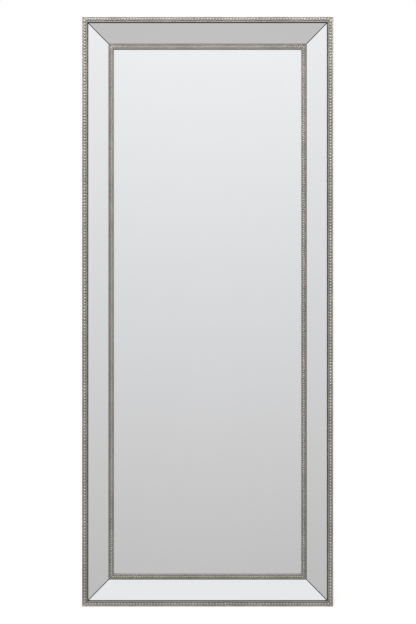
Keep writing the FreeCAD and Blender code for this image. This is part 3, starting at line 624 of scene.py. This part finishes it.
def half_round(first, last, spring, crown_hollow):
    """The round top of a reed, from its first line to its last: line, height and share of glaze and painted
    shade of each point.
    """
    middle = (first + last) / 2
    points = []
    for step in range(REED_STEPS + 1):
        angle = math.pi * step / REED_STEPS
        line = middle + (first - middle) * math.cos(angle)
        height = spring + abs(first - middle) * math.sin(angle)
        # Painted shade grows down each flank of the reed towards its foot.
        points.append((line, height, crown_hollow + SPRING_HOLLOW * (1 - math.sin(angle))))
    return points


def moulding_section(sizes, near, far, foot, seat, glass_side):
    """Outline of a moulding between its near and far lines: line, height and share of glaze and painted shade
    of each point.
    """
    near_hollows = (EDGE_REED_HOLLOW, FLOOR_HOLLOW)
    far_hollows = (SIGHT_REED_HOLLOW, FLOOR_HOLLOW)
    # The reed and the channel floor beside the border glass take more, as painted shade.
    if glass_side == GLASS_ON_NEAR_SIDE:
        near_hollows = (STRIP_REED_HOLLOW, STRIP_FLOOR_HOLLOW)
    else:
        far_hollows = (STRIP_REED_HOLLOW, STRIP_FLOOR_HOLLOW)
    crown = seat + sizes.reed_height
    floor = crown - sizes.channel_depth
    channel_start = near + sizes.near_reed
    channel_end = far - sizes.far_reed
    outline = [(line, height, SEAT_HOLLOW) for line, height in foot]
    outline += half_round(far, channel_end, crown - sizes.far_reed / 2, far_hollows[0])
    outline.append((channel_end, floor, far_hollows[1]))
    outline.append((channel_start, floor, near_hollows[1]))
    outline += half_round(channel_start, near, crown - sizes.near_reed / 2, near_hollows[0])
    return outline, floor


def join_loops(shape, first, last):
    """Close the wall between two loops of vertices."""
    for index in range(len(first)):
        shape.faces.new((first[index - 1], first[index], last[index], last[index - 1]))


def mitred_bar(name, section, side_length):
    """A bar along a side, in the side's own axes, with both ends cut on the mitre lines."""
    shape = bmesh.new()
    hollow = shape.verts.layers.float.new(HOLLOW)
    ends = []
    for sign in (-1, 1):
        end = []
        for line, height, depth in section:
            vertex = shape.verts.new((sign * (side_length / 2 - line), line, height))
            vertex[hollow] = depth
            end.append(vertex)
        shape.faces.new(end)
        ends.append(end)
    join_loops(shape, *ends)
    return shape_to_mesh(shape, name)


def new_tree(name, inputs):
    """A geometry tree with named inputs, and a wire for each of them."""
    tree = bpy.data.node_groups.new(name, "GeometryNodeTree")
    graph = Graph(tree)
    for label, kind in inputs.items():
        tree.interface.new_socket(name=label, in_out="INPUT", socket_type="NodeSocket" + kind)
    tree.interface.new_socket(name="Geometry", in_out="OUTPUT", socket_type="NodeSocketGeometry")
    entry = tree.nodes.new("NodeGroupInput")
    return graph, {label: Wire(graph, entry.outputs[label]) for label in inputs}


def end_tree(graph, geometry, material):
    """Close a geometry tree: plain geometry, one finish, one output."""
    plain = graph.node("GeometryNodeRealizeInstances", None, {"Geometry": geometry})
    finished = graph.node("GeometryNodeSetMaterial", None, {"Geometry": plain, "Material": material})
    graph.node("NodeGroupOutput", None, {"Geometry": finished})
    return graph.tree


def make_bead_row_tree(name):
    """The tree that sets a row of half-sunk beads on a moulding."""
    graph, given = new_tree(name, {
        "Geometry": "Geometry", "Row Length": "Float", "Bead Count": "Int", "Bead Radius": "Float",
        "Bead Line": "Float", "Bead Level": "Float", "Glass Side": "Float", "Shrinkage": "Float",
        "Seed": "Int", "Finish": "Material"})
    radius = given["Bead Radius"]
    half_row = given["Row Length"] / 2
    start, end = [
        graph.node("ShaderNodeCombineXYZ", None,
                   {"X": reach, "Y": given["Bead Line"], "Z": given["Bead Level"]})
        for reach in (0 - half_row, half_row)]
    row = graph.node("GeometryNodeMeshLine", {"mode": "END_POINTS"},
                     {"Count": given["Bead Count"], "Start Location": start, "Offset": end})
    bead = graph.node("GeometryNodeMeshUVSphere", None,
                      {"Segments": BEAD_SEGMENTS, "Rings": BEAD_RINGS, "Radius": radius}, "Mesh")
    _, inward, height = graph.axes(graph.node("GeometryNodeInputPosition"))
    # Painted shade: each bead darkens towards its foot, as glaze and shade, and on its side towards the
    # border glass, as shade alone.
    glass_side_shade = inward * given["Glass Side"] / radius
    bare = height.ramp(radius * BEAD_GLAZE_SHADE_FULL, radius * BEAD_GLAZE_SHADE_END)
    bead = graph.node("GeometryNodeStoreNamedAttribute", {"data_type": "FLOAT", "domain": "POINT"},
                      {"Geometry": bead, "Name": HOLLOW, "Value": 1 - bare + glass_side_shade * BEAD_LEAN_HOLLOW})
    bead = graph.node("GeometryNodeSetShadeSmooth", None, {"Geometry": bead})
    size = graph.node("FunctionNodeRandomValue", {"data_type": "FLOAT"},
                      {"Min_001": 1 - given["Shrinkage"], "Max_001": 1.0, "Seed": given["Seed"]}, "Value_001")
    beads = graph.node("GeometryNodeInstanceOnPoints", None, {"Points": row, "Instance": bead, "Scale": size})
    joined = graph.node("GeometryNodeJoinGeometry", None, {"Geometry": [given["Geometry"], beads]})
    return end_tree(graph, joined, given["Finish"])


def make_fixing_set_tree(name):
    """The tree that puts one fixing at each point, each turned by chance about its own axis."""
    graph, given = new_tree(name, {
        "Geometry": "Geometry", "Pattern": "Object", "Seed": "Int", "Finish": "Material"})
    pattern = graph.node("GeometryNodeObjectInfo", None, {"Object": given["Pattern"]}, "Geometry")
    angle = graph.node("FunctionNodeRandomValue", {"data_type": "FLOAT"},
                       {"Min_001": 0.0, "Max_001": math.tau, "Seed": given["Seed"]}, "Value_001")
    turn = graph.node("ShaderNodeCombineXYZ", None, {"Y": angle})
    fixings = graph.node("GeometryNodeInstanceOnPoints", None,
                         {"Points": given["Geometry"], "Instance": pattern, "Rotation": turn})
    return end_tree(graph, fixings, given["Finish"])


def grow(piece, name, maker, values):
    """Run a geometry tree, made at its first use, on a piece, and keep the result as its own plain mesh."""
    tree = bpy.data.node_groups.get(name) or maker(name)
    modifier = piece.modifiers.new(name, "NODES")
    modifier.node_group = tree
    for socket in tree.interface.items_tree:
        if socket.in_out == "INPUT" and socket.name in values:
            modifier[socket.identifier] = values[socket.name]
    depsgraph = bpy.context.evaluated_depsgraph_get()
    grown = bpy.data.meshes.new_from_object(
        piece.evaluated_get(depsgraph), preserve_all_data_layers=True, depsgraph=depsgraph)
    piece.modifiers.remove(modifier)
    bare = piece.data
    piece.data = grown
    bpy.data.meshes.remove(bare)
    grown.name = piece.name


def make_moulding(side, kind, sizes, near, far, foot, seat, glass_side, seed):
    """One mitred moulding with its row of beads."""
    side_length = SIDES[side][-1]
    section, floor = moulding_section(sizes, near, far, foot, seat, glass_side)
    name = f"{side}_{kind}_trim"
    piece = new_piece(name, mitred_bar(name, section, side_length))
    bead_line = (near + sizes.near_reed + far - sizes.far_reed) / 2
    pitch = sizes.bead_diameter + sizes.bead_gap
    row_length = side_length - 2 * bead_line - math.sqrt(2) * pitch
    grow(piece, "bead_row", make_bead_row_tree, {
        "Row Length": row_length, "Bead Count": round(row_length / pitch) + 1,
        "Bead Radius": sizes.bead_diameter / 2, "Bead Line": bead_line,
        "Bead Level": floor + sizes.bead_lift, "Glass Side": float(glass_side),
        "Shrinkage": BEAD_SHRINKAGE, "Seed": seed, "Finish": material_of(champagne_leaf)})
    piece.data.transform(side_matrix(side))
    settle(piece, f"{side}_{kind}_moulding")


def make_glass(node, name):
    """A sheet of mirror glass with a ground arris round its front."""
    shape = merged_shape(node)
    front = max(shape.faces, key=lambda face: face.normal.dot(FORWARD) * face.calc_area())
    facing = front.normal.copy()
    arris = bpy.context.scene.mirror_fittings.glass_arris
    bmesh.ops.bevel(shape, geom=list(front.edges), offset=arris, segments=1, profile=0.5, affect="EDGES")
    mesh = shape_to_mesh(shape, name)
    mesh.shade_flat()
    silver, edge, backing = range(3)
    for maker in (silvered_glass, glass_edge, mirror_backing):
        mesh.materials.append(material_of(maker))
    for polygon in mesh.polygons:
        turned = polygon.normal.dot(facing)
        polygon.material_index = edge
        if turned > SAME_FACING:
            polygon.material_index = silver
        elif turned < -SAME_FACING:
            polygon.material_index = backing
    settle(new_piece(name, mesh), node)


def make_core_member(node, name):
    """One member of the core with its long edges eased."""
    shape = merged_shape(node)
    long_edges = [edge for edge in shape.edges
                  if edge.calc_length() > EASED_EDGE_LENGTH and edge.is_convex
                  and edge.calc_face_angle(0.0) > SHARP_ANGLE]
    easing = bpy.context.scene.mirror_fittings.core_easing
    bmesh.ops.bevel(shape, geom=long_edges, offset=easing, segments=EASING_STEPS, profile=0.5, affect="EDGES")
    mesh = shape_to_mesh(shape, name)
    mesh.materials.append(material_of(painted_core))
    settle(new_piece(name, mesh), node)


def loop_edges(shape, loop):
    """The edges round a loop of vertices."""
    return [shape.edges.get((loop[index - 1], loop[index])) for index in range(len(loop))]


def turned_rings(shape, rings):
    """Rings of vertices about the Y axis, joined by walls. Each is a radius and a depth towards the front."""
    made = []
    for radius, depth in rings:
        ring = []
        for index in range(TURNED_SEGMENTS):
            angle = math.tau * index / TURNED_SEGMENTS
            ring.append(shape.verts.new((radius * math.cos(angle), -depth, radius * math.sin(angle))))
        made.append(ring)
    for ring, following in zip(made, made[1:]):
        join_loops(shape, ring, following)
    return made


def cross_outline(head):
    """The twelve corners of the cross recess of a screw head with a given radius."""
    reach = head * CROSS_REACH
    half_width = head * CROSS_HALF_WIDTH
    arm = [Vector((reach, -half_width)), Vector((reach, half_width)), Vector((half_width, half_width))]
    return [Matrix.Rotation(turn * math.pi / 2, 2) @ corner for turn in range(4) for corner in arm]


def screw_mesh(name, shank, screw_length):
    """A countersunk screw with a cross recess, its head at the origin and its point to the front."""
    fittings = bpy.context.scene.mirror_fittings
    head = fittings.screw_head / 2
    rim = fittings.screw_rim
    shape = bmesh.new()
    rings = turned_rings(shape, [
        (head - rim, 0), (head, rim), (shank / 2, head - shank / 2),
        (shank / 2, screw_length - fittings.screw_point)])
    tip = shape.verts.new((0, -screw_length, 0))
    last = rings[-1]
    for index in range(TURNED_SEGMENTS):
        shape.faces.new((last[index - 1], last[index], tip))
    corners = cross_outline(head)
    mouth = [shape.verts.new((corner.x, 0, corner.y)) for corner in corners]
    bottom = [shape.verts.new((corner.x * CROSS_TAPER, -head * CROSS_DEPTH, corner.y * CROSS_TAPER))
              for corner in corners]
    join_loops(shape, mouth, bottom)
    shape.faces.new(bottom)
    rim_and_mouth = loop_edges(shape, rings[0]) + loop_edges(shape, mouth)
    bmesh.ops.triangle_fill(shape, use_beauty=True, edges=rim_and_mouth)
    return shape_to_mesh(shape, name)


def bumper_mesh(name, thickness):
    """A tapered rubber button with a rounded rim, its wall face at the origin."""
    fittings = bpy.context.scene.mirror_fittings
    rim = fittings.bumper_rim
    face = fittings.bumper_face / 2
    rings = []
    for step in range(RIM_STEPS + 1):
        angle = math.pi / 2 * step / RIM_STEPS
        rings.append((face - rim + rim * math.sin(angle), rim - rim * math.cos(angle)))
    rings.append((fittings.bumper_base / 2, thickness))
    shape = bmesh.new()
    made = turned_rings(shape, rings)
    shape.faces.new(made[0])
    shape.faces.new(made[-1])
    return shape_to_mesh(shape, name)


def set_fixings(name, node, pattern_mesh, maker, seed):
    """Put a pattern piece at the back of each solid of a CAD node, all as one piece."""
    points = bpy.data.meshes.new(name)
    points.from_pydata(solid_backs(node), [], [])
    pattern = new_piece(name + "_pattern", pattern_mesh)
    piece = new_piece(name, points)
    grow(piece, "fixing_set", make_fixing_set_tree,
         {"Pattern": pattern, "Seed": seed, "Finish": material_of(maker)})
    bpy.data.objects.remove(pattern)
    settle(piece, node)


class BEADED_MIRROR_OT_outer_mouldings(bpy.types.Operator):
    """Make the four outer mouldings with their beads"""

    bl_idname = "beaded_mirror.outer_mouldings"
    bl_label = "Outer Mouldings"

    def execute(self, context):
        low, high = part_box("left_outer_moulding")
        near = 0.0
        far = high.x - low.x
        seat = BACK_PLANE - high.y
        foot = [(near, seat), (far, seat)]
        for seed, side in enumerate(SIDES):
            make_moulding(side, "outer", context.scene.mirror_outer, near, far, foot, seat,
                          GLASS_ON_FAR_SIDE, seed)
        return {"FINISHED"}


class BEADED_MIRROR_OT_inner_mouldings(bpy.types.Operator):
    """Make the four inner mouldings with their beads and the leg over the lip of the core"""

    bl_idname = "beaded_mirror.inner_mouldings"
    bl_label = "Inner Mouldings"

    def execute(self, context):
        sizes = context.scene.mirror_inner
        low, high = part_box("left_inner_moulding")
        near = low.x - cad_low.x
        far = high.x - cad_low.x
        seat = GLASS_LEVEL + sizes.seat_height
        leg = far - sizes.leg_thickness
        foot = [(near, seat), (leg, seat), (leg, GLASS_LEVEL), (far, GLASS_LEVEL)]
        for seed, side in enumerate(SIDES, start=len(SIDES)):
            make_moulding(side, "inner", sizes, near, far, foot, seat, GLASS_ON_NEAR_SIDE, seed)
        return {"FINISHED"}


class BEADED_MIRROR_OT_border_glass(bpy.types.Operator):
    """Make the four sloping strips of mirror glass"""

    bl_idname = "beaded_mirror.border_glass"
    bl_label = "Border Glass"

    def execute(self, context):
        for side in SIDES:
            make_glass(f"{side}_border_mirror", f"{side}_border_glass")
        return {"FINISHED"}


class BEADED_MIRROR_OT_main_glass(bpy.types.Operator):
    """Make the main sheet of mirror glass"""

    bl_idname = "beaded_mirror.main_glass"
    bl_label = "Main Glass"

    def execute(self, context):
        make_glass("main_mirror", "main_glass")
        return {"FINISHED"}


class BEADED_MIRROR_OT_core(bpy.types.Operator):
    """Ease and paint the four members of the core"""

    bl_idname = "beaded_mirror.core"
    bl_label = "Core"

    def execute(self, context):
        for node in CORE_MEMBERS:
            make_core_member(node, node + "_board")
        return {"FINISHED"}


class BEADED_MIRROR_OT_inner_layers(bpy.types.Operator):
    """Finish the tapes, splines, setting blocks and packing sheet inside the frame"""

    bl_idname = "beaded_mirror.inner_layers"
    bl_label = "Inner Layers"

    def execute(self, context):
        for side in SIDES:
            dress(f"{side}_border_tape", foam_tape)
        dress("mitre_splines", beech_tongue)
        dress("setting_blocks", moulded_rubber)
        dress("packing_sheet", corrugated_card)
        return {"FINISHED"}


class BEADED_MIRROR_OT_back_panel(bpy.types.Operator):
    """Finish the back panel and make its screws"""

    bl_idname = "beaded_mirror.back_panel"
    bl_label = "Back Panel and Screws"

    def execute(self, context):
        fittings = context.scene.mirror_fittings
        dress("back_panel", pressed_hardboard)
        screw = screw_mesh("panel_screw", fittings.panel_screw_shank, fittings.panel_screw_length)
        set_fixings("panel_screw_set", "back_panel_screws", screw, zinc_plate, seed=11)
        return {"FINISHED"}


class BEADED_MIRROR_OT_hangers(bpy.types.Operator):
    """Finish the strap hangers and their rings, and make their screws"""

    bl_idname = "beaded_mirror.hangers"
    bl_label = "Hangers and Screws"

    def execute(self, context):
        fittings = context.scene.mirror_fittings
        for hanger in HANGERS:
            dress(f"{hanger}_hanger_strap", zinc_plate)
            dress(f"{hanger}_hanger_ring", nickel_wire)
        screw = screw_mesh("hanger_screw", fittings.hanger_screw_shank, fittings.hanger_screw_length)
        set_fixings("hanger_screw_set", "hanger_screws", screw, zinc_plate, seed=23)
        return {"FINISHED"}


class BEADED_MIRROR_OT_wall_bumpers(bpy.types.Operator):
    """Make the four rubber wall bumpers"""

    bl_idname = "beaded_mirror.wall_bumpers"
    bl_label = "Wall Bumpers"

    def execute(self, context):
        bumper = bumper_mesh("wall_bumper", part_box("wall_bumpers")[1].y - BACK_PLANE)
        set_fixings("wall_bumper_set", "wall_bumpers", bumper, moulded_rubber, seed=31)
        return {"FINISHED"}


def background(graph, tone, strength):
    """Light from all round in one colour and strength."""
    return graph.node("ShaderNodeBackground", None, {"Color": tone, "Strength": strength})


def light_path(graph, ray):
    """1 for one kind of ray and 0 for the rest."""
    return graph.node("ShaderNodeLightPath", None, None, ray)


def make_world(ambient):
    """White behind the mirror, a soft graded studio in its reflections, and even light from all round."""
    world = bpy.data.worlds.new("studio")
    world.use_nodes = True
    bpy.context.scene.world = world
    graph = Graph(world.node_tree)
    across, _, height = graph.axes(graph.node("ShaderNodeTexCoord", None, None, "Generated"))
    stops = [((math.sin(math.radians(angle)) + 1) / 2, grey) for angle, grey in REFLECTED_STUDIO]
    seen = graph.node("ShaderNodeValToRGB", {"stops": stops}, {"Fac": (height + 1) / 2}, "Color")
    tint = graph.mix(height.ramp(TINT_START, 0.0), LOW_TINT, HIGH_TINT)
    tinted = graph.mix(1.0, seen, tint, blend_type="MULTIPLY")
    graded = background(graph, tinted, 1 - abs(across) * SIDEWAYS_DIMMING)
    lit = graph.node("ShaderNodeMixShader", None,
                     {"Fac": light_path(graph, "Is Glossy Ray"), "Shader": background(graph, WHITE, ambient),
                      "Shader_001": graded})
    straight = light_path(graph, "Is Camera Ray").higher(light_path(graph, "Is Transmission Ray"))
    shown = graph.node("ShaderNodeMixShader", None,
                       {"Fac": straight, "Shader": lit, "Shader_001": background(graph, WHITE, 1.0)})
    graph.node("ShaderNodeOutputWorld", None, {"Surface": shown})


def pale_floor(stage):
    """The floor's material: matt and pale, with white added for the camera alone, and plain white far off."""
    material = bpy.data.materials.new("pale_floor")
    material.use_nodes = True
    graph = Graph(material.node_tree)
    seen = light_path(graph, "Is Camera Ray")
    spot = graph.node("ShaderNodeTexCoord", None, None, "Object")
    distance = graph.node("ShaderNodeVectorMath", {"operation": "LENGTH"}, {0: spot}, "Value")
    far_off = seen * distance.ramp(stage.floor_near, stage.floor_far)
    matt = graph.node("ShaderNodeBsdfDiffuse", None, {"Color": opaque(stage.floor_tone)})
    glow = graph.node("ShaderNodeEmission", None, {"Color": WHITE, "Strength": seen * stage.floor_glow})
    pale = graph.node("ShaderNodeAddShader", None, {0: matt, 1: glow})
    white = graph.node("ShaderNodeEmission", None, {"Color": WHITE, "Strength": 1.0})
    shown = graph.node("ShaderNodeMixShader", None, {"Fac": far_off, "Shader": pale, "Shader_001": white})
    graph.node("ShaderNodeOutputMaterial", None, {"Surface": shown})
    return material


def make_floor(stage):
    """A floor that keeps the shadow of the mirror and stays out of its reflections."""
    half = stage.floor_size / 2
    corners = [(-half, -half, 0), (half, -half, 0), (half, half, 0), (-half, half, 0)]
    mesh = bpy.data.meshes.new("studio_floor")
    mesh.from_pydata(corners, [], [range(len(corners))])
    mesh.materials.append(pale_floor(stage))
    floor = new_piece("studio_floor", mesh)
    floor.visible_glossy = False


def make_lamp(name, spot, size, watts, target):
    """A square soft lamp that points at a target."""
    light = bpy.data.lights.new(name, "AREA")
    light.shape = "SQUARE"
    light.size = size
    light.energy = watts
    lamp = new_piece(name, light)
    lamp.location = spot
    lamp.rotation_euler = (target - lamp.location).to_track_quat("-Z", "Y").to_euler()


def make_camera(stage, middle):
    """A camera square to the mirror, at the photograph's distance and framing."""
    lens = bpy.data.cameras.new("photo_camera")
    lens.lens = lens.sensor_width * stage.camera_distance / stage.picture_height
    camera = new_piece("photo_camera", lens)
    camera.location = (stage.camera_aside, cad_low.y - stage.camera_distance, middle.z - stage.camera_drop)
    camera.rotation_euler = (math.pi / 2, 0, 0)
    bpy.context.scene.camera = camera


class BEADED_MIRROR_OT_stage(bpy.types.Operator):
    """Make the floor, the lights and the camera"""

    bl_idname = "beaded_mirror.stage"
    bl_label = "Stage"

    def execute(self, context):
        stage = context.scene.mirror_stage
        middle = Vector((0, 0, FRAME_HEIGHT / 2))
        make_floor(stage)
        make_world(stage.ambient)
        make_lamp("key_lamp", stage.key_place, stage.key_size, stage.key_power, middle)
        make_lamp("fill_lamp", stage.fill_place, stage.fill_size, stage.fill_power, middle)
        make_camera(stage, middle)
        context.scene.view_settings.view_transform = "Standard"
        return {"FINISHED"}


PROPERTY_OWNERS = {
    "mirror_outer": OuterMouldingSizes,
    "mirror_inner": InnerMouldingSizes,
    "mirror_fittings": FittingSizes,
    "mirror_colours": FinishColours,
    "mirror_stage": StageSettings,
}
OPERATORS = (
    BEADED_MIRROR_OT_outer_mouldings,
    BEADED_MIRROR_OT_inner_mouldings,
    BEADED_MIRROR_OT_border_glass,
    BEADED_MIRROR_OT_main_glass,
    BEADED_MIRROR_OT_core,
    BEADED_MIRROR_OT_inner_layers,
    BEADED_MIRROR_OT_back_panel,
    BEADED_MIRROR_OT_hangers,
    BEADED_MIRROR_OT_wall_bumpers,
    BEADED_MIRROR_OT_stage,
)


class BEADED_MIRROR_PT_sidebar(bpy.types.Panel):
    """The pieces of the mirror, with their sizes and colours"""

    bl_idname = "BEADED_MIRROR_PT_sidebar"
    bl_label = "Beaded Mirror"
    bl_space_type = "VIEW_3D"
    bl_region_type = "UI"
    bl_category = "Mirror"

    def draw(self, context):
        for operator in OPERATORS:
            self.layout.operator(operator.bl_idname)
        for owner, group in PROPERTY_OWNERS.items():
            box = self.layout.box()
            for name in group.__annotations__:
                box.prop(getattr(context.scene, owner), name)


def register():
    for owner, group in PROPERTY_OWNERS.items():
        bpy.utils.register_class(group)
        setattr(bpy.types.Scene, owner, bpy.props.PointerProperty(type=group))
    for shown in (*OPERATORS, BEADED_MIRROR_PT_sidebar):
        bpy.utils.register_class(shown)


def unregister():
    for shown in (BEADED_MIRROR_PT_sidebar, *reversed(OPERATORS)):
        bpy.utils.unregister_class(shown)
    for owner, group in PROPERTY_OWNERS.items():
        delattr(bpy.types.Scene, owner)
        bpy.utils.unregister_class(group)


def main():
    """Make every piece in order."""
    register()
    for operator in OPERATORS:
        family, name = operator.bl_idname.split(".")
        getattr(getattr(bpy.ops, family), name)()


if __name__ == "__main__":
    main()
